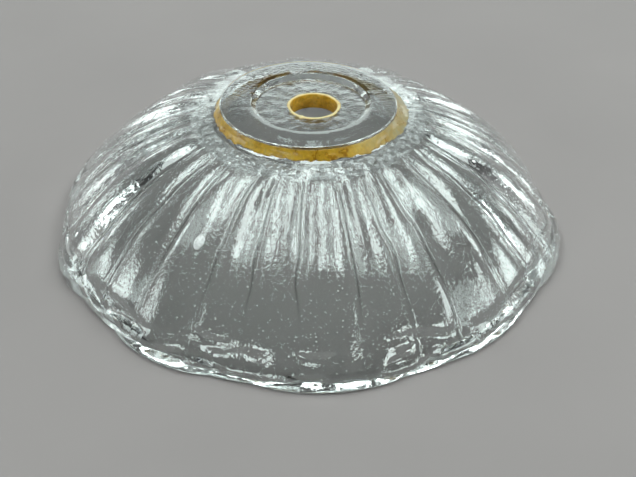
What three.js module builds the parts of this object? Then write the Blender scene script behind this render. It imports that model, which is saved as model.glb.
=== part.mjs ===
// A clear pressed-glass lamp dish: a fluted bowl with a scalloped rim, a raised round foot with a shallow
// recess, and a hole through the middle of the foot. A thin amber skin covers the flared side of the foot
// and the wall of the hole. The dish stands on its rim, foot up.
//
// Units are millimetres and +Z is up. The origin is the centre of the rim, on the plane it stands on.
// Azimuth 0 is -Y and turns towards +X.

import * as THREE from 'three';

// Driving dimensions of the pressing.
const rimRadius = 57; // mean over the scallops
const dishHeight = 30.8; // rim plane to the top of the foot
const rimWidth = 2.8; // glass thickness at the rim
const rimRounding = 0.6; // radius of the rim's two edges
const footRadius = 19.5;
const footRounding = 0.4; // radius of the foot's top edge
const flareWidth = 2.8; // the foot's side spreads outwards by this much
const flareDrop = 2.5; // and this far down
const recessRadius = 13; // at the mouth
const recessDraft = 0.8; // the recess narrows by this much down to its floor
const recessDepth = 1.2;
const holeRadius = 5.55; // clearance for a 10.3 mm lamp pipe through the amber lining
const floorThickness = 3.4; // glass between the recess and the inside of the bowl

// Handles of the two curves that shape the wall, outside and inside: how far each reaches out and up or down
// from its own end of the curve.
const outerRimReach = 1;
const outerRimRise = 4;
const shoulderReach = 21.6;
const shoulderDrop = 4.7;
const innerRimReach = 1.2;
const innerRimRise = 2;
const crownReach = 33.1;
const crownRise = 1.6;

// The foot was finished by hand, so its features sit slightly to +X of the bowl's axis.
const flareOffset = 0.8;
const flareOffsetStart = 0.8; // share of the wall's length where this offset starts to grow
const recessOffset = 0.5;
const holeOffset = 1.2;

// Flutes: each group is one broad flute and two narrow ones, and the groups repeat round the bowl.
const groupCount = 10;
const fluteWidths = [15, 10.5, 10.5]; // degrees
const firstGroove = -2.5; // azimuth in degrees of the groove that starts the first group
const broadHeight = 1.35; // crest of a broad flute above its grooves
const narrowHeight = 0.75;
const grooveDepth = 0.6; // grooves below the bowl's mean surface
const crestPower = 2.3; // 2 makes a flute's section a parabola, and more makes its crest flatter
const fluteFullRadius = 40; // flutes keep their full height outside this radius and taper inside it
const fluteEndRadius = 24.2; // flutes die out here, just outside the foot
const fluteEndLength = 2.4;

// Scallops: each group of flutes swells the rim outwards in one lobe, centred on its broad flute.
const lobeSpan = 13; // degrees from a lobe's middle to its ends
const lobeHeight = 1.6;
const oddLobes = {
  0: { span: 15, height: 1.6 },
  1: { span: 11, height: 0.9 },
  2: { span: 15, height: 2 },
  9: { span: 12, height: 1.6 },
};
const rimBandHeight = 1.5; // the scallops turn into flutes from here
const fluteRimHeight = 9; // up to here

// Amber skins.
const skinThickness = 0.3;
const skinClearance = 0.06; // between a skin and the faceted glass behind it
const skinEdge = 0.4; // thickness at a skin's edges, as a share of its full thickness
const bandStart = 3; // degrees down the flare's quarter ellipse
const bandEnd = 73;

// Mesh resolution.
const segmentsPerFlute = 4;
const skinSegments = 60;
const outerWallSteps = 12;
const innerWallSteps = 8;
const flareSteps = 6;
const roundingSteps = 2;

const vector = (x, y) => new THREE.Vector2(x, y);
const radians = THREE.MathUtils.degToRad;

// The bowl's outer and inner walls in section: x is the radius and y the height.
const innerRimRadius = rimRadius - rimWidth;
const flareRadius = footRadius + flareWidth;
const flareTop = dishHeight - footRounding;
const flareBase = flareTop - flareDrop;
const recessFloor = dishHeight - recessDepth;
const crownHeight = recessFloor - floorThickness;
const outerWall = new THREE.CubicBezierCurve(
  vector(rimRadius, rimRounding),
  vector(rimRadius + outerRimReach, rimRounding + outerRimRise),
  vector(flareRadius + shoulderReach, flareBase - shoulderDrop),
  vector(flareRadius, flareBase),
);
const innerWall = new THREE.CubicBezierCurve(
  vector(innerRimRadius, rimRounding),
  vector(innerRimRadius + innerRimReach, rimRounding + innerRimRise),
  vector(holeRadius + crownReach, crownHeight + crownRise),
  vector(holeRadius, crownHeight),
);

// One point of the pressing's section. The flutes push it along (pushR, pushZ), and the whole ring that it
// makes is shifted to +X by offset.
function station(radius, height, { pushR = 0, pushZ = 0, offset = 0 } = {}) {
  return { radius, height, pushR, pushZ, offset };
}

// Points on a quarter ellipse about (centreR, centreZ), both ends included.
function quarter(centreR, centreZ, radiusR, radiusZ, fromDegrees, steps) {
  const points = [];
  for (let i = 0; i <= steps; i++) {
    const angle = radians(fromDegrees + (90 * i) / steps);
    points.push(vector(centreR + radiusR * Math.cos(angle), centreZ + radiusZ * Math.sin(angle)));
  }
  return points;
}

function rimOutside() {
  const centreR = rimRadius - rimRounding;
  const corner = quarter(centreR, rimRounding, rimRounding, rimRounding, -90, roundingSteps);
  return corner.map((p) => station(p.x, p.y, { pushR: 1 }));
}

function outerWallStations() {
  const stations = [];
  for (let i = 1; i <= outerWallSteps; i++) {
    const share = i / outerWallSteps;
    const point = outerWall.getPointAt(share);
    const tangent = outerWall.getTangentAt(share);
    const offset = flareOffset * THREE.MathUtils.smoothstep(share, flareOffsetStart, 1);
    stations.push(station(point.x, point.y, { pushR: tangent.y, pushZ: -tangent.x, offset }));
  }
  return stations;
}

// The flare runs up from the bowl to the foot's edge, and its offset fades on the way.
function flareStations() {
  const points = quarter(flareRadius, flareTop, flareWidth, flareDrop, 180, flareSteps).reverse().slice(1);
  return points.map((p, i) => station(p.x, p.y, { offset: flareOffset * (1 - (i + 1) / flareSteps) }));
}

function footTop() {
  const centreR = footRadius - footRounding;
  const edge = quarter(centreR, flareTop, footRounding, footRounding, 0, roundingSteps).slice(1);
  return [
    ...edge.map((p) => station(p.x, p.y)),
    station(recessRadius, dishHeight, { offset: recessOffset }),
    station(recessRadius - recessDraft, recessFloor, { offset: recessOffset }),
  ];
}

function holeWall() {
  return [
    station(holeRadius, recessFloor, { offset: holeOffset }),
    station(holeRadius, crownHeight, { offset: holeOffset }),
  ];
}

function innerWallStations() {
  const stations = [];
  for (let i = innerWallSteps - 1; i >= 0; i--) {
    const point = innerWall.getPointAt(i / innerWallSteps);
    stations.push(station(point.x, point.y));
  }
  return stations;
}

function rimInside() {
  const centreR = innerRimRadius + rimRounding;
  const corner = quarter(centreR, rimRounding, rimRounding, rimRounding, 180, roundingSteps).slice(1);
  return corner.map((p) => station(p.x, p.y));
}

// Mesh column i: its azimuth, its place across its flute (-1 and 1 at the grooves, 0 on the crest), whether
// that flute is broad, and the height of the rim's lobe.
function columnAt(i) {
  const flute = Math.floor(i / segmentsPerFlute);
  const across = (i % segmentsPerFlute) / segmentsPerFlute;
  const group = Math.floor(flute / fluteWidths.length);
  const kind = flute % fluteWidths.length;
  const before = fluteWidths.slice(0, kind).reduce((sum, width) => sum + width, 0);
  const degrees = firstGroove + (360 / groupCount) * group + before + fluteWidths[kind] * across;
  return { azimuth: radians(degrees), place: 2 * across - 1, broad: kind === 0, lobe: rimLobe(degrees) };
}

// How far the rim stands out at an azimuth in degrees.
function rimLobe(degrees) {
  const { euclideanModulo } = THREE.MathUtils;
  let out = 0;
  for (let i = 0; i < groupCount; i++) {
    const { span, height } = oddLobes[i] ?? { span: lobeSpan, height: lobeHeight };
    const middle = firstGroove + (360 / groupCount) * i + fluteWidths[0] / 2;
    const away = euclideanModulo(degrees - middle + 180, 360) - 180;
    out = Math.max(out, height * (1 - Math.abs(away / span) ** crestPower));
  }
  return out;
}

// How far the flutes and the rim's lobes push the bowl's outside along its normal.
function outsidePush({ place, broad, lobe }, radius, height) {
  const { smoothstep, lerp } = THREE.MathUtils;
  const atRim = 1 - smoothstep(height, rimBandHeight, fluteRimHeight);
  const end = smoothstep(radius, fluteEndRadius, fluteEndRadius + fluteEndLength);
  const body = end * Math.min(1, radius / fluteFullRadius);
  const crest = (broad ? broadHeight : narrowHeight) * (1 - Math.abs(place) ** crestPower);
  return lerp(body * (crest - grooveDepth), lobe, atRim);
}

function makePressing() {
  const stations = [
    ...rimOutside(),
    ...outerWallStations(),
    ...flareStations(),
    ...footTop(),
    ...holeWall(),
    ...innerWallStations(),
    ...rimInside(),
  ];
  stations.push(stations[0]);
  const columns = groupCount * fluteWidths.length * segmentsPerFlute;
  const geometry = new THREE.LatheGeometry(stations.map((s) => vector(s.radius, s.height)), columns);
  const position = geometry.getAttribute('position');
  for (let i = 0; i <= columns; i++) {
    const column = columnAt(i % columns);
    stations.forEach((s, j) => {
      const push = outsidePush(column, s.radius, s.height);
      const radius = s.radius + push * s.pushR;
      const x = radius * Math.sin(column.azimuth) + s.offset;
      const y = -radius * Math.cos(column.azimuth);
      position.setXYZ(i * stations.length + j, x, y, s.height + push * s.pushZ);
    });
  }
  geometry.computeVertexNormals();
  return geometry;
}

// A skin that follows the flare's quarter ellipse, thinner at its two edges.
function makeFootBand() {
  const inside = [];
  const outside = [];
  for (let i = 0; i <= flareSteps; i++) {
    const share = i / flareSteps;
    const angle = radians(bandStart + (bandEnd - bandStart) * share);
    const point = vector(-flareWidth * Math.cos(angle), -flareDrop * Math.sin(angle));
    point.add(vector(flareRadius, flareTop));
    const normal = vector(flareDrop * Math.cos(angle), flareWidth * Math.sin(angle)).normalize();
    const thickness = skinThickness * (skinEdge + (1 - skinEdge) * Math.sin(Math.PI * share));
    const offset = (flareOffset * angle) / radians(90);
    inside.push({ point: point.clone().addScaledVector(normal, skinClearance), offset });
    outside.push({ point: point.addScaledVector(normal, skinClearance + thickness), offset });
  }
  const section = [...inside, ...outside.reverse(), inside[0]];
  const geometry = new THREE.LatheGeometry(section.map((s) => s.point), skinSegments);
  geometry.rotateX(Math.PI / 2);
  const position = geometry.getAttribute('position');
  for (let i = 0; i < position.count; i++) {
    position.setX(i, position.getX(i) + section[i % section.length].offset);
  }
  geometry.computeVertexNormals();
  return geometry;
}

function makeHoleLining() {
  const outer = holeRadius - skinClearance;
  const inner = outer - skinThickness;
  const section = [
    vector(inner, crownHeight),
    vector(outer, crownHeight),
    vector(outer, recessFloor),
    vector(inner, recessFloor),
    vector(inner, crownHeight),
  ];
  return new THREE.LatheGeometry(section, skinSegments).rotateX(Math.PI / 2).translate(holeOffset, 0, 0);
}

function part(name, geometry, material) {
  const mesh = new THREE.Mesh(geometry, material);
  mesh.name = name;
  return mesh;
}

const glass = new THREE.MeshStandardMaterial({
  color: 0xe6efee,
  roughness: 0.06,
  metalness: 0,
  transparent: true,
  opacity: 0.35,
});
const bandAmber = new THREE.MeshStandardMaterial({ color: 0xc49a2e, roughness: 0.35, metalness: 0 });
const liningAmber = new THREE.MeshStandardMaterial({ color: 0xc98a12, roughness: 0.4, metalness: 0 });

const group = new THREE.Group();
group.add(part('dish_pressing', makePressing(), glass));
group.add(part('amber_foot_band', makeFootBand(), bandAmber));
group.add(part('amber_hole_lining', makeHoleLining(), liningAmber));

export default group;
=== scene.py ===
"""Looks for a clear pressed-glass lamp dish, standing on its scalloped rim with its foot up.

Lengths in the shape functions are millimetres, and MM turns them into Blender's metres. Lengths in the
materials, the camera and the lights are metres. Azimuth 0 is -Y, towards the camera, and turns towards
+X. +Z is up, and the rim stands on z = 0.
"""

import math
from itertools import combinations

import bpy
import numpy as np
from mathutils import Matrix, Vector, noise


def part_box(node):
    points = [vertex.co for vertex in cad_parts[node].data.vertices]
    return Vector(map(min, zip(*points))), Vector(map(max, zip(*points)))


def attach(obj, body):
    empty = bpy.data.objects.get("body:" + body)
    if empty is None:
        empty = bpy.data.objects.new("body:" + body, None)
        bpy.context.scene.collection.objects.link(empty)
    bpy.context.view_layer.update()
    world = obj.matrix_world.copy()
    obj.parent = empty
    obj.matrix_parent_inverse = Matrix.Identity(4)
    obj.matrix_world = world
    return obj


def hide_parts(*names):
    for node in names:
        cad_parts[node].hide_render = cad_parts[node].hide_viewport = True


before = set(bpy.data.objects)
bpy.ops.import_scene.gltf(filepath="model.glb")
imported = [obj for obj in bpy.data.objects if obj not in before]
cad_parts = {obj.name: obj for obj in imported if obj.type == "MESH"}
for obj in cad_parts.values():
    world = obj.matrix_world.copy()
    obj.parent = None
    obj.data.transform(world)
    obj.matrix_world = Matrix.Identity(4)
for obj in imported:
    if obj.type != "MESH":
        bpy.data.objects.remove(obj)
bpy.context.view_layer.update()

MM = 0.001

# Shape of the pressing, as in the CAD model. Each offset is a shift of that feature's middle to +X.
_, dish_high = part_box("dish_pressing")
lining_low, lining_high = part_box("amber_hole_lining")
DISH_HEIGHT = dish_high.z / MM
RECESS_FLOOR = lining_high.z / MM
CROWN_HEIGHT = lining_low.z / MM
HOLE_OFFSET = (lining_low.x + lining_high.x) / 2 / MM
RIM_RADIUS = 57.0
RIM_WIDTH = 2.8
RIM_ROUNDING = 0.6
FOOT_RADIUS = 19.5
FOOT_ROUNDING = 0.4
FLARE_WIDTH = 2.8
FLARE_DROP = 2.5
FLARE_OFFSET = 0.8
RECESS_RADIUS = 13.0
RECESS_DRAFT = 0.8
RECESS_OFFSET = 0.5
RECESS_ROUNDING = 0.3
HOLE_RADIUS = 5.55
HOLE_ROUNDING = 0.2
FLARE_RADIUS = FOOT_RADIUS + FLARE_WIDTH
FLARE_TOP = DISH_HEIGHT - FOOT_ROUNDING
FLARE_BASE = FLARE_TOP - FLARE_DROP

# Handles of the wall's two Bezier curves, measured from the ends of each curve.
OUTER_RIM_HANDLE = (1.0, 4.0)
OUTER_FOOT_HANDLE = (21.6, -4.7)
INNER_RIM_HANDLE = (1.2, 2.0)
INNER_HOLE_HANDLE = (33.1, 1.6)

# The part of each wall's length, from the rim up, over which its offset fades in.
OUTER_OFFSET_FADE = (0.8, 1)
INNER_OFFSET_FADE = (0.7, 1)

# Directions in the section, in degrees.
OUT, UP, IN, DOWN = 0, 90, 180, -90

# Flutes: ten groups of one broad flute and two narrow ones. Widths and places are in degrees. They pass
# into the rim's lobes between RIM_BAND_HEIGHT and FLUTE_RIM_HEIGHT.
GROUP_COUNT = 10
FLUTE_WIDTHS = (15.0, 10.5, 10.5)
FLUTE_COUNT = GROUP_COUNT * len(FLUTE_WIDTHS)
FIRST_GROOVE = -2.5
GROOVE_JITTER = 0.45
BROAD_HEIGHT = 1.35
NARROW_HEIGHT = 0.75
FLUTE_VARIETY = (0.85, 1.12)
GROOVE_DEPTH = 0.6
CREST_POWER = 2.3
FLUTE_FULL_RADIUS = 40.0
FLUTE_RIM_HEIGHT = 9.0
RIM_BAND_HEIGHT = 1.5
DISH_RANDOM_SEED = 4

# The upper ends of the flutes, which are arched and differ a little.
FLUTE_END_RADIUS = 24.2
FLUTE_END_LENGTH = 2.4
FLUTE_END_ARCH = 1.6
FLUTE_END_VARIETY = (-0.6, 1.4)

# A hollow runs round above the rim. It is deepest between the lobes and shallowest where a lobe stands out
# by RIM_HOLLOW_LOBE or more.
RIM_HOLLOW_HEIGHT = 5.0
RIM_HOLLOW_HALF_WIDTH = 2.0
RIM_HOLLOW_DEPTH = (0.2, 0.62)
RIM_HOLLOW_LOBE = 0.9

# Each group of flutes swells the rim in one lobe, given by half its span in degrees and its height. The
# four towards the camera are set by group number, and the others are drawn from the ranges below them.
LOBES = {9: (12.0, 1.45), 0: (15.0, 1.4), 1: (11.0, 0.7), 2: (15.0, 1.8)}
LOBE_SPAN = (10.0, 16.0)
LOBE_HEIGHT = (1.0, 1.6)

# A low bead runs along the bottom of each groove, and painted shade darkens it. Both fade out towards the
# rim.
BEAD_HEIGHT = 0.36
BEAD_HALF_WIDTH = 0.5
BEAD_FADE = (2, 6)
GROOVE_SHADE_HALF_WIDTH = 0.4
GROOVE_SHADE_START = (0.5, 3)
GROOVE_SHADE_FADE = (9, 17)

# Noise layers: height, feature size in millimetres and seed. A seed moves its layer by that many times
# NOISE_SHIFT features. Heights are in millimetres here, but GROOVE_WANDER's is in radians.
NOISE_SHIFT = (13.7, 7.1, 3.3)
SWELL = (0.12, 7.0, 1)
STREAKS = (0.09, 1.7, 2)
STREAK_RISE = 0.35
GROOVE_WANDER = (0.02, 9.0, 12)
WANDER_FADE = (2, 9)

# How much of the swell and the streaks each surface gets.
WALL_WAVE = 1.0
FLARE_WAVE = 0.5
FOOT_WAVE = 0.15
CORNER_WAVE = 0.2
FLOOR_WAVE = 0.9
INNER_WAVE = 0.8

# Shallow dents along the rim: the heights where they fade in and out, their size along x, y and z, and how
# deep they are. The higher DENT_LEVEL is, the fewer there are.
DENT_BAND = (0.8, 2.2, 6.0, 10.0)
DENT_SIZE = (7.0, 7.0, 2.0)
DENT_NOISE = (1.0, 1.0, 13)
DENT_DEPTH = 1.6
DENT_LEVEL = 0.05

# Mesh resolution. Columns crowd towards the grooves by GROOVE_CROWDING, from 0 to 1.
CURVE_SAMPLES = 2001
SEGMENTS_PER_FLUTE = 20
GROOVE_CROWDING = 0.65
WALL_STEPS = 74
INNER_STEPS = 34
FLARE_STEPS = 8
ANNULUS_STEPS = 5
FLOOR_STEPS = 12
ROUND_STEPS = 6
FINE_STEPS = 3

# Rows of the outer wall that have painted groove shade, wandering grooves and seeds, clear of the rim and
# the foot.
OUTER_ROWS = (9, 74)

# Seeds are tiny grains in the surface, lumpy icosahedra. SEED_SINK is how deep the middle of each lies,
# as a share of its radius. The higher SEED_SIZE_POWER is, the more of them are small. ICOSAHEDRON_REACH is
# a little more than the edge of an icosahedron with radius 1.
SEED_COUNT = 4500
SEED_RADIUS = (0.06, 0.21)
SEED_SIZE_POWER = 3
SEED_SINK = 0.45
SEED_LUMPS = (0.7, 1.15)
SEED_STRETCH = (0.75, 1.2)
SEED_RANDOM_SEED = 11
ICOSAHEDRON_REACH = 1.2

# The blister is a large flattened bubble. Its place up the wall is a share of OUTER_ROWS. It lines up with
# the rows and columns that are BLISTER_REACH steps away.
BLISTER_AZIMUTH = -27.0
BLISTER_SHARE = 0.56
BLISTER_SIZE = (1.05, 1.6, 0.5)
BLISTER_EGG = 0.12
BLISTER_RINGS = 14
BLISTER_SPOKES = 36
BLISTER_REACH = 2

# Amber skins. CONTACT_DEPTH is how far both are sunk into the glass.
CONTACT_DEPTH = 0.07

# Amber band, from BAND_START to BAND_END degrees down the flare's quarter ellipse. BAND_FRONT_FADE is over
# the cosine of the azimuth. The ragged heights are in degrees, and BAND_LUMPS' is a share of the thickness.
BAND_COLUMNS = 480
BAND_STEPS = 12
BAND_START = 3.0
BAND_END = 73.0
BAND_FRONT_RISE = 15.0
BAND_FRONT_FADE = (0.1, 0.9)
BAND_THICKNESS = 0.34
BAND_EDGE_POWER = 0.6
BAND_EDGE_SINK = 0.03
BAND_NOISE_RADIUS = 20
BAND_RAGGED = (6.0, 5.0, 3)
BAND_FINE_RAGGED = (10.0, 1.1, 4)
BAND_TOP_RAGGED = (2.5, 6.0, 5)
BAND_TOP_FINE_RAGGED = (1.2, 1.2, 6)
BAND_LUMPS = (0.35, 2.2, 7)
BAND_LUMP_RISE = 3

# Amber lining of the hole. It spills over the edge, and a crumb of it stands up at the front left.
LINING_COLUMNS = 200
LINING_STEPS = 10
LINING_THICKNESS = 0.33
LINING_NOISE_RADIUS = 6
LINING_LUMPS = (0.08, 1.6, 10)
LINING_LUMP_RISE = 9
LINING_SPILL = 0.35
SPILL_RAGGED = (0.22, 2.5, 8)
SPILL_FINE_RAGGED = (0.12, 0.8, 9)
LIP_SETBACK = 0.12
LIP_HEIGHT = 0.1
LIP_CREST = 0.11
LINING_TOP_TAPER = 0.15
LINING_BASE_TAPER = 0.25
LINING_BASE_EDGE = 0.02
CRUMB_AZIMUTH = -28.0
CRUMB_SPAN = 4.5
CRUMB_SPILL = 0.55
CRUMB_HEIGHT = 0.15
CRUMB_CREST = 0.3


# ---------------------------------------------------------------------------------------------- shapes

def smoothstep(x, low, high):
    t = np.clip((np.asarray(x, float) - low) / (high - low), 0, 1)
    return t * t * (3 - 2 * t)


def mix(a, b, share):
    return a + (b - a) * share


def bezier(start, start_handle, end, end_handle, steps):
    """Evenly spaced points of a cubic Bezier curve in section, with their outward normals."""
    p0, p3 = np.array(start), np.array(end)
    p1, p2 = p0 + start_handle, p3 + end_handle
    t = np.linspace(0, 1, CURVE_SAMPLES)[:, None]
    curve = (1 - t) ** 3 * p0 + 3 * (1 - t) ** 2 * t * p1 + 3 * (1 - t) * t * t * p2 + t ** 3 * p3
    length = np.concatenate([[0], np.cumsum(np.linalg.norm(np.diff(curve, axis=0), axis=1))])
    even = np.linspace(0, length[-1], steps + 1)
    found = np.stack([np.interp(even, length, curve[:, k]) for k in range(2)], -1)
    tangent = np.gradient(found, axis=0)
    tangent /= np.linalg.norm(tangent, axis=1)[:, None]
    return found, np.stack([tangent[:, 1], -tangent[:, 0]], -1)


def quarter(centre, radii, start, steps):
    """Points on a quarter ellipse about centre, from start degrees to 90 degrees further."""
    angle = np.radians(start + np.linspace(0, 90, steps + 1))
    return np.stack([centre[0] + radii[0] * np.cos(angle), centre[1] + radii[1] * np.sin(angle)], -1)


def rounding(centre, radius, start, steps):
    return quarter(centre, (radius, radius), start, steps)


def straight(start, end, steps):
    share = np.linspace(0, 1, steps + 1)[:, None]
    return np.array(start) * (1 - share) + np.array(end) * share


class Section:
    """The points of a closed section, and how the flutes push each, its shift to +X and its waviness."""

    def __init__(self):
        self.points = []
        self.push = []
        self.offset = []
        self.wave = []

    def add(self, points, push=(0, 0), offset=0.0, wave=0.0):
        count = len(points)
        self.points.extend(points)
        self.push.extend(np.broadcast_to(push, (count, 2)))
        self.offset.extend(np.broadcast_to(offset, count))
        self.wave.extend(np.broadcast_to(wave, count))

    def arrays(self):
        return tuple(np.array(a, float) for a in (self.points, self.push, self.offset, self.wave))


def dish_section():
    section = Section()
    rim_edge = rounding((RIM_RADIUS - RIM_ROUNDING, RIM_ROUNDING), RIM_ROUNDING, DOWN, ROUND_STEPS)
    section.add(rim_edge, push=(1, 0))

    rim_end = (RIM_RADIUS, RIM_ROUNDING)
    foot_end = (FLARE_RADIUS, FLARE_BASE)
    points, normals = bezier(rim_end, OUTER_RIM_HANDLE, foot_end, OUTER_FOOT_HANDLE, WALL_STEPS)
    shift = FLARE_OFFSET * smoothstep(np.linspace(0, 1, WALL_STEPS + 1), *OUTER_OFFSET_FADE)
    section.add(points[1:], normals[1:], shift[1:], WALL_WAVE)

    flare = quarter((FLARE_RADIUS, FLARE_TOP), (FLARE_WIDTH, FLARE_DROP), IN, FLARE_STEPS)[::-1]
    shift = np.linspace(FLARE_OFFSET, 0, FLARE_STEPS + 1)
    section.add(flare[1:], offset=shift[1:], wave=FLARE_WAVE)

    foot_edge = rounding((FOOT_RADIUS - FOOT_ROUNDING, FLARE_TOP), FOOT_ROUNDING, OUT, ROUND_STEPS)
    section.add(foot_edge[1:], wave=FOOT_WAVE)
    mouth = RECESS_RADIUS + RECESS_ROUNDING
    annulus = straight((FOOT_RADIUS - FOOT_ROUNDING, DISH_HEIGHT), (mouth, DISH_HEIGHT), ANNULUS_STEPS)
    shift = np.linspace(0, RECESS_OFFSET, ANNULUS_STEPS + 1)
    section.add(annulus[1:-1], offset=shift[1:-1], wave=FOOT_WAVE)
    lip = rounding((mouth, DISH_HEIGHT - RECESS_ROUNDING), RECESS_ROUNDING, UP, FINE_STEPS)
    section.add(lip, offset=RECESS_OFFSET, wave=FOOT_WAVE)

    floor_end = RECESS_RADIUS - RECESS_DRAFT - RECESS_ROUNDING
    corner = rounding((floor_end, RECESS_FLOOR + RECESS_ROUNDING), RECESS_ROUNDING, DOWN, FINE_STEPS)
    section.add(corner[::-1], offset=RECESS_OFFSET, wave=CORNER_WAVE)
    hole_edge = HOLE_RADIUS + HOLE_ROUNDING
    floor = straight((floor_end, RECESS_FLOOR), (hole_edge, RECESS_FLOOR), FLOOR_STEPS)
    shift = np.linspace(RECESS_OFFSET, HOLE_OFFSET, FLOOR_STEPS + 1)
    section.add(floor[1:-1], offset=shift[1:-1], wave=FLOOR_WAVE)
    hole_top = rounding((hole_edge, RECESS_FLOOR - HOLE_ROUNDING), HOLE_ROUNDING, UP, FINE_STEPS)
    section.add(hole_top, offset=HOLE_OFFSET)
    hole_base = rounding((hole_edge, CROWN_HEIGHT + HOLE_ROUNDING), HOLE_ROUNDING, IN, FINE_STEPS)
    section.add(hole_base, offset=HOLE_OFFSET)

    inner_rim = RIM_RADIUS - RIM_WIDTH
    rim_end = (inner_rim, RIM_ROUNDING)
    hole_end = (hole_edge, CROWN_HEIGHT)
    points, _ = bezier(rim_end, INNER_RIM_HANDLE, hole_end, INNER_HOLE_HANDLE, INNER_STEPS)
    shift = HOLE_OFFSET * smoothstep(np.linspace(0, 1, INNER_STEPS + 1), *INNER_OFFSET_FADE)
    section.add(points[::-1][1:], offset=shift[::-1][1:], wave=INNER_WAVE)
    rim_inside = rounding((inner_rim + RIM_ROUNDING, RIM_ROUNDING), RIM_ROUNDING, IN, ROUND_STEPS)
    section.add(rim_inside[1:])
    return section.arrays()


def flute_columns(rng):
    """Each mesh column's azimuth and place across its flute, and the flute's half width and number.

    The place is 0 on the crest, and -1 and 1 in the grooves. Azimuth and half width are in radians.
    """
    widths = np.tile(FLUTE_WIDTHS, GROUP_COUNT)
    grooves = FIRST_GROOVE + np.concatenate([[0], np.cumsum(widths)[:-1]])
    grooves = grooves + rng.uniform(-GROOVE_JITTER, GROOVE_JITTER, FLUTE_COUNT)
    ends = np.append(grooves[1:], grooves[0] + 360)
    column = np.arange(FLUTE_COUNT * SEGMENTS_PER_FLUTE)
    flute = column // SEGMENTS_PER_FLUTE
    across = (column % SEGMENTS_PER_FLUTE) / SEGMENTS_PER_FLUTE
    across = across - GROOVE_CROWDING / (2 * math.pi) * np.sin(2 * math.pi * across)
    azimuth = np.radians(grooves[flute] + (ends - grooves)[flute] * across)
    half_width = np.radians((ends - grooves)[flute]) / 2
    return azimuth, 2 * across - 1, half_width, flute


def rim_lobes(azimuth, rng):
    """How far the rim stands out at each azimuth: one lobe for each group of flutes."""
    out = 0 * azimuth
    for k in range(GROUP_COUNT):
        random_lobe = (rng.uniform(*LOBE_SPAN), rng.uniform(*LOBE_HEIGHT))
        span, tall = LOBES.get(k, random_lobe)
        centre = FIRST_GROOVE + 360 / GROUP_COUNT * k + FLUTE_WIDTHS[0] / 2
        away = (np.degrees(azimuth) - centre + 180) % 360 - 180
        out = np.maximum(out, tall * (1 - np.abs(away / span) ** CREST_POWER))
    return out


def flute_push(radius, height, azimuth, place, half_width, flute, rng):
    """How far the flutes push each point of the grid (rows by columns), and how dark its painted shade is, 0
    to 1.
    """
    broad = (flute % len(FLUTE_WIDTHS) == 0)[None, :]
    vary = rng.uniform(*FLUTE_VARIETY, FLUTE_COUNT)[flute][None, :]
    rim_crest = rim_lobes(azimuth, rng)[None, :]
    end_vary = rng.uniform(*FLUTE_END_VARIETY, FLUTE_COUNT)[flute][None, :]
    radius = radius[:, None]
    height = height[:, None]
    at_rim = 1 - smoothstep(height, RIM_BAND_HEIGHT, FLUTE_RIM_HEIGHT)
    start = FLUTE_END_RADIUS + end_vary + FLUTE_END_ARCH * place[None, :] ** 2
    end = smoothstep(radius - start, 0, FLUTE_END_LENGTH)
    body = end * np.minimum(1, radius / FLUTE_FULL_RADIUS)
    groove = -GROOVE_DEPTH * body * (1 - at_rim)
    body_crest = np.where(broad, BROAD_HEIGHT, NARROW_HEIGHT) * vary * body
    from_groove = (1 - np.abs(place)) * half_width * radius
    bead_shape = np.maximum(0, 1 - (from_groove / BEAD_HALF_WIDTH) ** 2)
    bead = BEAD_HEIGHT * body * smoothstep(height, *BEAD_FADE) * bead_shape
    hollow_depth = mix(*RIM_HOLLOW_DEPTH, np.maximum(0, 1 - rim_crest / RIM_HOLLOW_LOBE))
    from_hollow = (height - RIM_HOLLOW_HEIGHT) / RIM_HOLLOW_HALF_WIDTH
    hollow = -hollow_depth * np.maximum(0, 1 - from_hollow ** 2)
    crest = mix(body_crest * (1 - np.abs(place[None, :]) ** CREST_POWER), rim_crest, at_rim)
    # Painted shade along the bottom of each groove, darkest in the groove itself.
    groove_shade_shape = np.maximum(0, 1 - from_groove / GROOVE_SHADE_HALF_WIDTH)
    groove_shade = groove_shade_shape * smoothstep(radius - start, *GROOVE_SHADE_START) * smoothstep(height, *GROOVE_SHADE_FADE)
    return groove + bead + hollow + crest, groove_shade


def noise_layer(points, layer):
    """Smooth noise at each point of a grid, from a layer's height, feature size and seed."""
    tall, size, seed = layer
    shift = Vector([seed * step for step in NOISE_SHIFT])
    values = [noise.noise(Vector(p) / size + shift) for p in points.reshape(-1, 3)]
    return tall * np.array(values).reshape(points.shape[:-1])


def add_mesh(name, points, faces):
    """A smooth-shaded piece from points in millimetres."""
    mesh = bpy.data.meshes.new(name)
    mesh.from_pydata((np.asarray(points) * MM).tolist(), [], np.asarray(faces).tolist())
    mesh.polygons.foreach_set("use_smooth", [True] * len(mesh.polygons))
    mesh.update()
    piece = bpy.data.objects.new(name, mesh)
    bpy.context.scene.collection.objects.link(piece)
    return piece


def add_grid(name, grid):
    """A piece that is closed both ways from a grid of points, rows by columns."""
    rows, columns = grid.shape[:2]
    i = np.arange(rows)[:, None]
    j = np.arange(columns)[None, :]
    corners = [
        i * columns + j,
        i * columns + (j + 1) % columns,
        (i + 1) % rows * columns + (j + 1) % columns,
        (i + 1) % rows * columns + j,
    ]
    faces = np.stack([c + np.zeros((rows, columns), int) for c in corners], -1)
    return add_mesh(name, grid.reshape(-1, 3), faces.reshape(-1, 4))


def ring(radius, azimuth):
    return np.stack([radius * np.sin(azimuth), -radius * np.cos(azimuth), 0 * azimuth], -1)


def turn(radius, height, azimuth, offset):
    """Grid points of a section swept round: radius and height are grids, azimuth a row."""
    x = radius * np.sin(azimuth) + offset[:, None]
    y = -radius * np.cos(azimuth)
    return np.stack([x, y, height + 0 * x], -1)


def section_normals(points):
    tangent = np.roll(points, -1, 0) - np.roll(points, 1, 0)
    tangent /= np.linalg.norm(tangent, axis=1)[:, None]
    return np.stack([tangent[:, 1], -tangent[:, 0]], -1)


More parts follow.
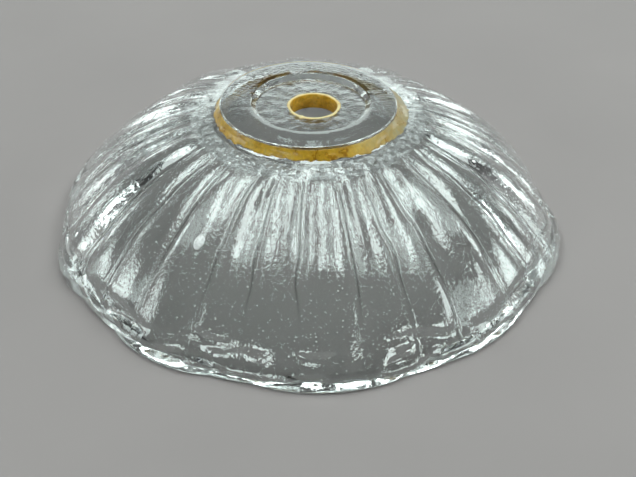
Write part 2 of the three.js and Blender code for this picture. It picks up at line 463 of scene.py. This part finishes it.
def push_rows(grid, rows, amount, normal, azimuth):
    """Moves some rows of the grid along the section's normal, by an amount for each point."""
    grid[rows, :, 0] += amount * normal[rows, 0][:, None] * np.sin(azimuth)[None, :]
    grid[rows, :, 1] -= amount * normal[rows, 0][:, None] * np.cos(azimuth)[None, :]
    grid[rows, :, 2] += amount * normal[rows, 1][:, None]


def make_dish():
    rng = np.random.default_rng(DISH_RANDOM_SEED)
    points, push, offset, wave = dish_section()
    azimuth, place, half_width, flute = flute_columns(rng)
    amount, groove_shade = flute_push(*points.T, azimuth, place, half_width, flute, rng)
    # The painted groove shade is kept to the outer wall, clear of the rim and the foot.
    groove_shade[:OUTER_ROWS[0]] = 0
    groove_shade[OUTER_ROWS[1]:] = 0
    radius = points[:, 0][:, None] + amount * push[:, 0][:, None]
    height = points[:, 1][:, None] + amount * push[:, 1][:, None]
    grid = turn(radius, height, azimuth, offset)

    # Grooves that wander a little, as in a hand-cut mould.
    wall = slice(*OUTER_ROWS)
    reach = smoothstep(points[wall, 0], FLUTE_END_RADIUS, FLUTE_FULL_RADIUS)
    reach = reach * smoothstep(points[wall, 1], *WANDER_FADE)
    turned = azimuth[None, :] + noise_layer(grid[wall], GROOVE_WANDER) * reach[:, None]
    grid[wall] = turn(radius[wall], height[wall], turned, offset[wall])

    # Hand-made waviness: a broad swell, and streaks that run along the flutes.
    normal = section_normals(points)
    wavy = np.flatnonzero(wave > 0)
    at = grid[wavy]
    level = np.hypot(at[..., 0], at[..., 1])[..., None]
    held = at[..., :2] * np.minimum(1, FLUTE_END_RADIUS / level)
    flow = np.concatenate([held, at[..., 2:] * STREAK_RISE], -1)
    swell = (noise_layer(at, SWELL) + noise_layer(flow, STREAKS)) * wave[wavy][:, None]
    push_rows(grid, wavy, swell, normal, azimuth)

    # Shallow dents that run along the rim.
    dented = np.flatnonzero((points[:, 1] < DENT_BAND[-1]) & (wave == WALL_WAVE))
    at = grid[dented]
    in_band = smoothstep(at[..., 2], *DENT_BAND[:2]) * (1 - smoothstep(at[..., 2], *DENT_BAND[2:]))
    dent = np.maximum(0, noise_layer(at / np.array(DENT_SIZE), DENT_NOISE) - DENT_LEVEL)
    push_rows(grid, dented, -DENT_DEPTH * dent * in_band, normal, azimuth)

    grid[..., 2] = np.minimum(grid[..., 2], DISH_HEIGHT)
    dish = add_grid("dish_glass", grid)
    # The groove attribute carries the painted groove shade to the glass material.
    dish.data.attributes.new("groove", "FLOAT", "POINT").data.foreach_set("value", groove_shade.ravel())
    dish.data.materials.append(mould_side_glass())
    dish.data.materials.append(plunger_side_glass())
    first_inner_row = len(grid) - INNER_STEPS - ROUND_STEPS
    face_rows = np.repeat(np.arange(len(grid)), grid.shape[1])
    dish.data.polygons.foreach_set("material_index", (face_rows >= first_inner_row).astype(int))
    return dish, grid


def icosahedron():
    """Corners and outward faces of an icosahedron of radius 1."""
    golden = (1 + math.sqrt(5)) / 2
    corners = [(0, a, b * golden) for a in (-1, 1) for b in (-1, 1)]
    corners = np.array([np.roll(c, k) for k in range(3) for c in corners]) / math.hypot(1, golden)
    near = np.linalg.norm(corners[:, None] - corners[None], axis=-1) < ICOSAHEDRON_REACH
    faces = []
    for a, b, c in combinations(range(len(corners)), 3):
        if near[a, b] and near[b, c] and near[a, c]:
            facing = np.dot(np.cross(corners[b] - corners[a], corners[c] - corners[a]), corners[a])
            faces.append((a, b, c) if facing > 0 else (a, c, b))
    return corners, np.array(faces)


def make_seeds(grid):
    """Irregular grains, mostly sunk in the wall, spread evenly over its area."""
    rng = np.random.default_rng(SEED_RANDOM_SEED)
    corners, faces = icosahedron()
    low, high = OUTER_ROWS
    wall = grid[low:high]
    beside = np.roll(wall, -1, 1) - wall
    above = grid[low + 1:high + 1] - wall
    outward = np.cross(beside, above).reshape(-1, 3)
    area = np.linalg.norm(outward, axis=1)
    cells = rng.choice(area.size, SEED_COUNT, p=area / area.sum())
    share = rng.uniform(0, 1, (SEED_COUNT, 2))
    centre = wall.reshape(-1, 3)[cells] + beside.reshape(-1, 3)[cells] * share[:, :1]
    centre = centre + above.reshape(-1, 3)[cells] * share[:, 1:]
    radius = mix(*SEED_RADIUS, rng.uniform(0, 1, SEED_COUNT) ** SEED_SIZE_POWER)
    centre = centre - (SEED_SINK * radius / area[cells])[:, None] * outward[cells]
    lumpy = rng.uniform(*SEED_LUMPS, (SEED_COUNT, len(corners), 1))
    stretch = rng.uniform(*SEED_STRETCH, (SEED_COUNT, 1, 3))
    points = centre[:, None] + radius[:, None, None] * corners[None] * lumpy * stretch
    numbered = faces[None] + len(corners) * np.arange(SEED_COUNT)[:, None, None]
    return add_mesh("glass_seeds", points.reshape(-1, 3), numbered.reshape(-1, 3))


def make_blister(grid):
    """A smooth flattened bubble, half sunk in the wall, with its long axis up the wall."""
    low, high = OUTER_ROWS
    row = low + round(BLISTER_SHARE * (high - low))
    azimuth = math.radians(BLISTER_AZIMUTH)
    aim = np.array([math.sin(azimuth), -math.cos(azimuth)])
    column = int(np.argmax(grid[row, :, :2] @ aim))
    centre = grid[row, column]
    up = grid[row + BLISTER_REACH, column] - grid[row - BLISTER_REACH, column]
    up /= np.linalg.norm(up)
    next_column = (column + BLISTER_REACH) % grid.shape[1]
    across = grid[row, next_column] - grid[row, column - BLISTER_REACH]
    across /= np.linalg.norm(across)
    out = np.cross(across, up)
    tilt = np.linspace(0, math.pi, BLISTER_RINGS + 1)[1:-1]
    turns = np.linspace(0, 2 * math.pi, BLISTER_SPOKES, endpoint=False)
    a = np.sin(tilt)[:, None] * np.cos(turns)[None, :]
    b = np.sin(tilt)[:, None] * np.sin(turns)[None, :]
    c = np.cos(tilt)[:, None] + 0 * a
    egg = 1 + BLISTER_EGG * b
    local = (np.stack([a * egg, b, c], -1) * np.array(BLISTER_SIZE)).reshape(-1, 3)
    local = np.concatenate([local, [[0, 0, BLISTER_SIZE[2]], [0, 0, -BLISTER_SIZE[2]]]])
    points = centre + local @ np.stack([across, up, out])
    top = len(local) - 2
    bottom = len(local) - 1
    last = (len(tilt) - 1) * BLISTER_SPOKES
    faces = []
    for j in range(BLISTER_SPOKES):
        k = (j + 1) % BLISTER_SPOKES
        faces.append((top, j, k))
        faces.append((bottom, last + k, last + j))
        for here in range(0, last, BLISTER_SPOKES):
            below = here + BLISTER_SPOKES
            faces.append((here + j, below + j, below + k))
            faces.append((here + j, below + k, here + k))
    return add_mesh("glass_blister", points, faces)


def make_foot_band():
    azimuth = np.linspace(0, 2 * math.pi, BAND_COLUMNS, endpoint=False)
    around = ring(BAND_NOISE_RADIUS, azimuth)
    ragged = noise_layer(around, BAND_RAGGED) + noise_layer(around, BAND_FINE_RAGGED)
    top_ragged = noise_layer(around, BAND_TOP_RAGGED) + noise_layer(around, BAND_TOP_FINE_RAGGED)
    start = np.radians(BAND_START + top_ragged)
    rise = BAND_FRONT_RISE * smoothstep(np.cos(azimuth), *BAND_FRONT_FADE)
    end = np.radians(BAND_END + ragged - rise)
    share = np.linspace(0, 1, BAND_STEPS + 1)[:, None]
    angle = start[None, :] + (end - start)[None, :] * share
    base_r = FLARE_RADIUS - FLARE_WIDTH * np.cos(angle)
    base_z = FLARE_TOP - FLARE_DROP * np.sin(angle)
    normal_r = FLARE_DROP * np.cos(angle)
    normal_z = FLARE_WIDTH * np.sin(angle)
    length = np.hypot(normal_r, normal_z)
    full = BAND_THICKNESS * np.sin(math.pi * share) ** BAND_EDGE_POWER
    flow = np.stack([np.broadcast_to(around[:, k], angle.shape) for k in range(3)], -1)
    flow[..., 2] = base_z * BAND_LUMP_RISE
    outer = full * (1 + noise_layer(flow, BAND_LUMPS)) - BAND_EDGE_SINK
    offset = FLARE_OFFSET * angle / math.radians(90)

    def skin(depth):
        radius = base_r + depth * normal_r / length
        height = base_z + depth * normal_z / length
        x = radius * np.sin(azimuth)[None, :] + offset
        y = -radius * np.cos(azimuth)[None, :]
        return np.stack([x, y, height], -1)

    grid = np.concatenate([skin(outer), skin(-CONTACT_DEPTH + 0 * outer)[::-1]])
    return add_grid("amber_band", grid[::-1])


def make_hole_lining():
    azimuth = np.linspace(0, 2 * math.pi, LINING_COLUMNS, endpoint=False)
    around = ring(LINING_NOISE_RADIUS, azimuth)
    crumb = np.exp(-((np.degrees(azimuth) - 360 - CRUMB_AZIMUTH) / CRUMB_SPAN) ** 2)
    spill = LINING_SPILL + noise_layer(around, SPILL_RAGGED) + noise_layer(around, SPILL_FINE_RAGGED)
    spill = spill + CRUMB_SPILL * crumb
    wall = HOLE_RADIUS - LINING_THICKNESS
    section = []
    for k in range(LINING_STEPS + 1):
        share = k / LINING_STEPS
        lumps = noise_layer(around + np.array([0, 0, LINING_LUMP_RISE * share]), LINING_LUMPS)
        section.append((wall + lumps, mix(CROWN_HEIGHT, RECESS_FLOOR, share)))
    top = RECESS_FLOOR
    sunk = HOLE_RADIUS + CONTACT_DEPTH
    section += [
        (wall + LIP_SETBACK, top + LIP_HEIGHT + CRUMB_HEIGHT * crumb),
        (HOLE_RADIUS + spill / 2, top + LIP_CREST + CRUMB_CREST * crumb),
        (HOLE_RADIUS + spill, top),
        (HOLE_RADIUS + spill, top - CONTACT_DEPTH),
        (sunk, top - CONTACT_DEPTH - LINING_TOP_TAPER),
        (sunk, CROWN_HEIGHT + LINING_BASE_TAPER),
        (HOLE_RADIUS - LINING_BASE_EDGE, CROWN_HEIGHT - LINING_BASE_EDGE),
    ]
    radius = np.array([at_radius + 0 * azimuth for at_radius, _ in section])
    height = np.array([at_height + 0 * azimuth for _, at_height in section])
    grid = turn(radius, height, azimuth, np.full(len(radius), HOLE_OFFSET))
    return add_grid("amber_lining", grid[::-1])


# ------------------------------------------------------------------------------------------- materials

# Noise textures: feature size in metres, detail and roughness.
HAZE = (0.004, 3, 0.6)
PATCHES = (0.0022, 3, 0.6)
FROST = (0.001, 3, 0.7)
PEEL = (0.0007, 2, 0.5)
RIPPLE = (0.002, 2, 0.5)
AMBER_CLOUD = (0.003, 5, 0.65)
AMBER_FINE = (0.0007, 3, 0.6)
SEED_CLOUD = (0.0004, 2, 0.5)
FLOOR_CLOUD = (0.05, 3, 0.5)
PIT_SIZE = 0.0011
FLOW_RISE = 0.3

# Depths of the bumps in metres.
PEEL_DEPTH = 0.00013
PIT_DEPTH = 0.00009
RIPPLE_DEPTH = 0.00006
AMBER_DEPTH = 0.0001

# Glass. In these and all other ramps a stop is (position, colour), and a single number is a grey.
GLASS_TINT = (0.95, 0.985, 0.98)
GLASS_IOR = 1.51
COAT_IOR = 1.6
COAT_ROUGHNESS = 0.02
CLEAN_SPECULAR = 0.5
MOULD_ROUGHNESS = ((0.35, 0.01), (0.7, 0.06))
PLUNGER_ROUGHNESS = ((0.35, 0.01), (0.7, 0.04))
PATCH_STRENGTH = ((0.42, 0.3), (0.58, 1))
FROST_CLEARNESS = ((0.4, 1), (0.62, 0.62))
PIT_SHAPE = ((0.06, 0), (0.17, 1))
# The groove tint paints shade into the glass towards the bottom of each groove, for the dark lines seen
# there.
GROOVE_SHADE_TINT = ((0, GLASS_TINT), (0.35, (0.80, 0.83, 0.82)), (1, (0.3, 0.31, 0.3)))
GROOVE_GLOSS = ((0.1, 1), (0.6, 0.1))

# Ramps from the axis (0) to the rim (1): where the wall starts, how strong the peel is on the recess,
# the foot and the collar round the foot, and where the frosted collar is not.
ON_WALL = ((0.43, 0), (0.48, 1))
ON_TOP = ((0.215, 0.5), (0.228, 0.2), (0.37, 0.2), (0.4, 0.6), (0.43, 0.6), (0.48, 0))
OFF_COLLAR = ((0.38, 1), (0.395, 0), (0.425, 0), (0.46, 1))

# Amber. The tones go from the darkest to the palest part of the cloud. The worn look fades in over a part
# of the cloud, and over x in metres on the band or over height in millimetres round RECESS_FLOOR on the lip.
TONE_PLACES = (0.3, 0.55, 0.75)
BAND_TONES = ((0.42, 0.19, 0.008), (0.82, 0.49, 0.03), (0.88, 0.64, 0.14))
LINING_TONES = ((0.52, 0.24, 0.005), (0.86, 0.48, 0.02), (0.92, 0.62, 0.1))
BAND_WORN = (0.40, 0.36, 0.22)
LINING_WORN = (0.82, 0.68, 0.36)
BAND_CLEARNESS = 0.4
LINING_CLEARNESS = 0.1
AMBER_SPECKS = ((0.35, 0.75), (0.6, 1))
AMBER_ROUGHNESS = ((0.3, 0.22), (0.75, 0.5))
AMBER_COAT = 0.25
AMBER_COAT_ROUGHNESS = 0.1
BAND_WORN_SIDE = (0.008, 0.021)
BAND_WORN_CLOUD = (0.2, 0.6)
LIP_WORN_BELOW = 0.08
LIP_WORN_ABOVE = 0.12
LIP_WORN_CLOUD = (0.15, 0.55)

SEED_TONES = ((0.3, 0.55), (0.7, 0.85))
SEED_ROUGHNESS = 0.3
FLOOR_TONES = ((0.3, (0.285, 0.25, 0.25)), (0.7, (0.30, 0.263, 0.263)))
FLOOR_ROUGHNESS = 0.85


def new_material(name):
    made = bpy.data.materials.new(name)
    made.use_nodes = True
    tree = made.node_tree
    return made, tree, tree.nodes["Principled BSDF"]


def set_or_link(tree, socket, value):
    if isinstance(value, bpy.types.NodeSocket):
        tree.links.new(value, socket)
    else:
        socket.default_value = value


def set_inputs(tree, node, inputs):
    """Sets or links a node's sockets. In the keys of inputs, an underscore stands for a space."""
    for key, value in inputs.items():
        set_or_link(tree, node.inputs[key.replace("_", " ")], value)


def add_node(tree, kind, settings=None, **inputs):
    node = tree.nodes.new(kind)
    for key, value in (settings or {}).items():
        setattr(node, key, value)
    set_inputs(tree, node, inputs)
    return node


def object_coordinates(tree):
    return add_node(tree, "ShaderNodeTexCoord").outputs["Object"]


def vector_axis(tree, vector, axis):
    return add_node(tree, "ShaderNodeSeparateXYZ", Vector=vector).outputs[axis]


def vector_math(tree, operation, first, second=None, scale=None):
    node = add_node(tree, "ShaderNodeVectorMath", {"operation": operation})
    set_or_link(tree, node.inputs[0], first)
    if second is not None:
        set_or_link(tree, node.inputs[1], second)
    if scale is not None:
        set_or_link(tree, node.inputs["Scale"], scale)
    return node.outputs["Value" if operation == "LENGTH" else "Vector"]


def math_node(tree, operation, first, second):
    node = add_node(tree, "ShaderNodeMath", {"operation": operation})
    set_or_link(tree, node.inputs[0], first)
    set_or_link(tree, node.inputs[1], second)
    return node.outputs["Value"]


def map_range(tree, value, low, high):
    """From low..high to 0..1, held at both ends."""
    node = add_node(tree, "ShaderNodeMapRange", Value=value, From_Min=low, From_Max=high)
    return node.outputs["Result"]


def noise_texture(tree, coordinates, size, detail, roughness):
    """Noise with features of about size metres."""
    node = add_node(
        tree,
        "ShaderNodeTexNoise",
        Vector=coordinates,
        Scale=1 / size,
        Detail=detail,
        Roughness=roughness,
    )
    return node.outputs["Fac"]


def ramp(tree, value, stops):
    """A colour ramp: stops are (position, colour), and a single number is a grey."""
    node = add_node(tree, "ShaderNodeValToRGB", Fac=value)
    elements = node.color_ramp.elements
    while len(elements) < len(stops):
        elements.new(1)
    for element, (position, colour) in zip(elements, stops):
        element.position = position
        element.color = (*np.broadcast_to(colour, 3), 1)
    return node.outputs["Color"]


def bump(tree, height, distance, **inputs):
    return add_node(tree, "ShaderNodeBump", Height=height, Distance=distance, **inputs).outputs["Normal"]


def clear_glass(name, roughness_stops):
    made, tree, shader = new_material(name)
    shader.inputs["Base Color"].default_value = (*GLASS_TINT, 1)
    shader.inputs["Transmission Weight"].default_value = 1
    shader.inputs["IOR"].default_value = GLASS_IOR
    haze = noise_texture(tree, object_coordinates(tree), *HAZE)
    tree.links.new(ramp(tree, haze, roughness_stops), shader.inputs["Roughness"])
    return made, tree, shader


def mould_side_glass():
    """The outside: fire-polished, with the mould's orange peel in patches that run along the flutes."""
    made, tree, shader = clear_glass("mould_side_glass", MOULD_ROUGHNESS)
    at = object_coordinates(tree)
    level = vector_math(tree, "MULTIPLY", at, (1, 1, 0))
    radius = vector_math(tree, "LENGTH", level)
    from_axis = map_range(tree, radius, 0, RIM_RADIUS * MM)
    on_wall = ramp(tree, from_axis, ON_WALL)

    held = math_node(tree, "MINIMUM", radius, FLUTE_END_RADIUS * MM)
    around = vector_math(tree, "SCALE", vector_math(tree, "NORMALIZE", level), scale=held)
    rise = vector_math(tree, "MULTIPLY", at, (0, 0, FLOW_RISE))
    flow = vector_math(tree, "ADD", around, rise)
    patches = ramp(tree, noise_texture(tree, flow, *PATCHES), PATCH_STRENGTH)
    on_patches = math_node(tree, "MULTIPLY", patches, on_wall)
    strength = math_node(tree, "ADD", on_patches, ramp(tree, from_axis, ON_TOP))
    peel = math_node(tree, "MULTIPLY", noise_texture(tree, at, *PEEL), strength)
    cells = add_node(tree, "ShaderNodeTexVoronoi", Vector=at, Scale=1 / PIT_SIZE)
    pits = math_node(tree, "MULTIPLY", ramp(tree, cells.outputs["Distance"], PIT_SHAPE), on_wall)
    normal = bump(tree, pits, PIT_DEPTH, Normal=bump(tree, peel, PEEL_DEPTH))

    frost = ramp(tree, noise_texture(tree, at, *FROST), FROST_CLEARNESS)
    groove = add_node(tree, "ShaderNodeAttribute", {"attribute_name": "groove"}).outputs["Fac"]
    gloss = ramp(tree, groove, GROOVE_GLOSS)
    looks = {
        # Painted shade darkens the glass at the bottom of each groove.
        "Base Color": ramp(tree, groove, GROOVE_SHADE_TINT),
        "Transmission Weight": math_node(tree, "MAXIMUM", ramp(tree, from_axis, OFF_COLLAR), frost),
        "Specular IOR Level": math_node(tree, "MULTIPLY", gloss, CLEAN_SPECULAR),
        "Coat Weight": gloss,
        "Coat IOR": COAT_IOR,
        "Coat Roughness": COAT_ROUGHNESS,
        "Normal": normal,
        "Coat Normal": normal,
    }
    set_inputs(tree, shader, looks)
    return made


def plunger_side_glass():
    """The inside, which the plunger left smoother."""
    made, tree, shader = clear_glass("plunger_side_glass", PLUNGER_ROUGHNESS)
    ripple = noise_texture(tree, object_coordinates(tree), *RIPPLE)
    tree.links.new(bump(tree, ripple, RIPPLE_DEPTH), shader.inputs["Normal"])
    return made


def amber_material(name, tones, worn, worn_amount, clearness):
    """Amber enamel in three tones, mixed with a worn colour by an amount that depends on the place."""
    made, tree, shader = new_material(name)
    at = object_coordinates(tree)
    cloud = noise_texture(tree, at, *AMBER_CLOUD)
    fine = noise_texture(tree, at, *AMBER_FINE)
    tone = ramp(tree, cloud, tuple(zip(TONE_PLACES, tones)))
    specks = ramp(tree, fine, AMBER_SPECKS)
    multiply = {"blend_type": "MULTIPLY"}
    specked = add_node(tree, "ShaderNodeMixRGB", multiply, Fac=1.0, Color1=tone, Color2=specks)
    mixed = add_node(
        tree,
        "ShaderNodeMixRGB",
        Fac=worn_amount(tree, at, cloud),
        Color1=specked.outputs["Color"],
        Color2=(*worn, 1),
    )
    looks = {
        "Base Color": mixed.outputs["Color"],
        "Roughness": ramp(tree, cloud, AMBER_ROUGHNESS),
        "Normal": bump(tree, fine, AMBER_DEPTH),
        "Transmission Weight": clearness,
        "Coat Weight": AMBER_COAT,
        "Coat Roughness": AMBER_COAT_ROUGHNESS,
    }
    set_inputs(tree, shader, looks)
    return made


def towards_right(tree, at, cloud):
    """The band is thinner on its +X side, in patches."""
    side = map_range(tree, vector_axis(tree, at, "X"), *BAND_WORN_SIDE)
    return math_node(tree, "MULTIPLY", side, map_range(tree, cloud, *BAND_WORN_CLOUD))


def near_lip(tree, at, cloud):
    """The lining is thin and pale where it turns over the edge of the hole."""
    low = (RECESS_FLOOR - LIP_WORN_BELOW) * MM
    high = (RECESS_FLOOR + LIP_WORN_ABOVE) * MM
    lip = map_range(tree, vector_axis(tree, at, "Z"), low, high)
    return math_node(tree, "MULTIPLY", lip, map_range(tree, cloud, *LIP_WORN_CLOUD))


def plain_material(name, cloud, tones, roughness):
    """An opaque material in two tones that change with a soft cloud."""
    made, tree, shader = new_material(name)
    tone = ramp(tree, noise_texture(tree, object_coordinates(tree), *cloud), tones)
    tree.links.new(tone, shader.inputs["Base Color"])
    shader.inputs["Roughness"].default_value = roughness
    return made


# ----------------------------------------------------------------------------------- camera and lights

FOCAL_LENGTH = 54.5
SENSOR_WIDTH = 36
CAMERA_DISTANCE = 0.2295
CAMERA_ELEVATION = 35.72
CAMERA_ROLL = 0.6
SHIFT_X = 0.0171
SHIFT_Y = -0.0376
CLIP_START = 0.01

# Softboxes: name, place, aim, size and radiance. Their places follow from the reflections in the photo.
LIGHT_COLOUR = (0.88, 1, 0.97)
SOFTBOXES = (
    ("top_softbox", (-0.46, 0.12, 1.0), (-0.46, 0.14, 0), (0.32, 0.92), 6.2),
    ("top_softbox", (0.03, 0.08, 1.0), (0.03, 0.1, 0), (0.25, 0.92), 5.6),
    ("top_softbox", (0.66, 0.15, 1.0), (0.66, 0.17, 0), (0.42, 0.92), 6.4),
    ("back_softbox", (0, 1.5, 0.5), (0, 0, 0.1), (1.0, 0.56), 1.5),
    ("left_softbox", (-1.4, 0, 0.35), (0, 0, 0.05), (0.62, 0.42), 4.4),
    ("right_softbox", (1.4, 0, 0.35), (0, 0, 0.05), (0.62, 0.42), 4.4),
    ("front_softbox", (-0.75, -1.3, 0.3), (0, 0, 0.01), (0.55, 0.4), 6.0),
    ("front_softbox", (1.24, -0.84, 0.3), (0, 0, 0.01), (0.55, 0.4), 6.0),
    ("rim_softbox", (-0.8, 1.38, 0.27), (0, 0, 0.03), (0.2, 0.5), 3.8),
    ("rim_softbox", (-1.33, 0.9, 0.27), (0, 0, 0.03), (0.2, 0.5), 4.2),
    ("rim_softbox", (0.8, 1.38, 0.27), (0, 0, 0.03), (0.2, 0.5), 3.8),
    ("rim_softbox", (1.33, 0.9, 0.27), (0, 0, 0.03), (0.2, 0.5), 4.2),
)

# Brightness of the room, from the horizon (0) to straight up (1).
SKY = ((0, 0.4), (0.12, 0.25), (0.3, 0.04), (1, 0.03))

FLOOR_HALF_WIDTH = 2.0
FLOOR_CLEARANCE = 0.0001


def facing(place, aim):
    """The matrix of a camera or lamp at place that looks at aim."""
    turned = (Vector(aim) - Vector(place)).to_track_quat("-Z", "Y").to_matrix().to_4x4()
    return Matrix.Translation(place) @ turned


def make_camera():
    data = bpy.data.cameras.new("camera")
    data.lens = FOCAL_LENGTH
    data.sensor_width = SENSOR_WIDTH
    data.shift_x = SHIFT_X
    data.shift_y = SHIFT_Y
    data.clip_start = CLIP_START
    camera = bpy.data.objects.new("camera", data)
    elevation = math.radians(CAMERA_ELEVATION)
    place = Vector((0, -math.cos(elevation), math.sin(elevation))) * CAMERA_DISTANCE
    roll = Matrix.Rotation(math.radians(CAMERA_ROLL), 4, "Z")
    camera.matrix_world = facing(place, (0, 0, 0)) @ roll
    bpy.context.scene.collection.objects.link(camera)
    bpy.context.scene.camera = camera


def add_softbox(name, place, aim, size, radiance):
    """A rectangular softbox of the given radiance, facing aim."""
    data = bpy.data.lights.new(name, "AREA")
    data.shape = "RECTANGLE"
    data.size, data.size_y = size
    data.energy = radiance * math.pi * size[0] * size[1]
    data.color = LIGHT_COLOUR
    lamp = bpy.data.objects.new(name, data)
    lamp.matrix_world = facing(place, aim)
    bpy.context.scene.collection.objects.link(lamp)


def make_lights():
    for softbox in SOFTBOXES:
        add_softbox(*softbox)
    world = bpy.data.worlds.new("studio")
    world.use_nodes = True
    tree = world.node_tree
    up = add_node(tree, "ShaderNodeTexCoord").outputs["Generated"]
    sky = ramp(tree, vector_axis(tree, up, "Z"), SKY)
    tree.links.new(sky, tree.nodes["Background"].inputs["Color"])
    bpy.context.scene.world = world


def make_floor():
    mesh = bpy.data.meshes.new("floor")
    half = FLOOR_HALF_WIDTH
    corners = [(-half, -half, 0), (half, -half, 0), (half, half, 0), (-half, half, 0)]
    mesh.from_pydata(corners, [], [(0, 1, 2, 3)])
    floor = bpy.data.objects.new("floor", mesh)
    floor.data.materials.append(plain_material("pale_floor", FLOOR_CLOUD, FLOOR_TONES, FLOOR_ROUGHNESS))
    bpy.context.scene.collection.objects.link(floor)
    floor.location.z = -FLOOR_CLEARANCE


# ----------------------------------------------------------------------------------------------- build

# Light may bounce more often than by default, because the thick glass shows black arcs otherwise.
MAX_BOUNCES = 24
GLOSSY_BOUNCES = 20
TRANSMISSION_BOUNCES = 24


def place_piece(piece, material, node):
    piece.data.materials.append(material)
    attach(piece, "root")
    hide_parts(node)


make_camera()
make_lights()
make_floor()
band_amber = amber_material("amber_band", BAND_TONES, BAND_WORN, towards_right, BAND_CLEARNESS)
lining_amber = amber_material("amber_lining", LINING_TONES, LINING_WORN, near_lip, LINING_CLEARNESS)
dish, dish_grid = make_dish()
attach(dish, "root")
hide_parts("dish_pressing")
grain = plain_material("seed_white", SEED_CLOUD, SEED_TONES, SEED_ROUGHNESS)
for piece in (make_seeds(dish_grid), make_blister(dish_grid)):
    piece.data.materials.append(grain)
    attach(piece, "root")
place_piece(make_foot_band(), band_amber, "amber_foot_band")
place_piece(make_hole_lining(), lining_amber, "amber_hole_lining")

scene = bpy.context.scene
scene.view_settings.view_transform = "Standard"
scene.cycles.max_bounces = MAX_BOUNCES
scene.cycles.glossy_bounces = GLOSSY_BOUNCES
scene.cycles.transmission_bounces = TRANSMISSION_BOUNCES
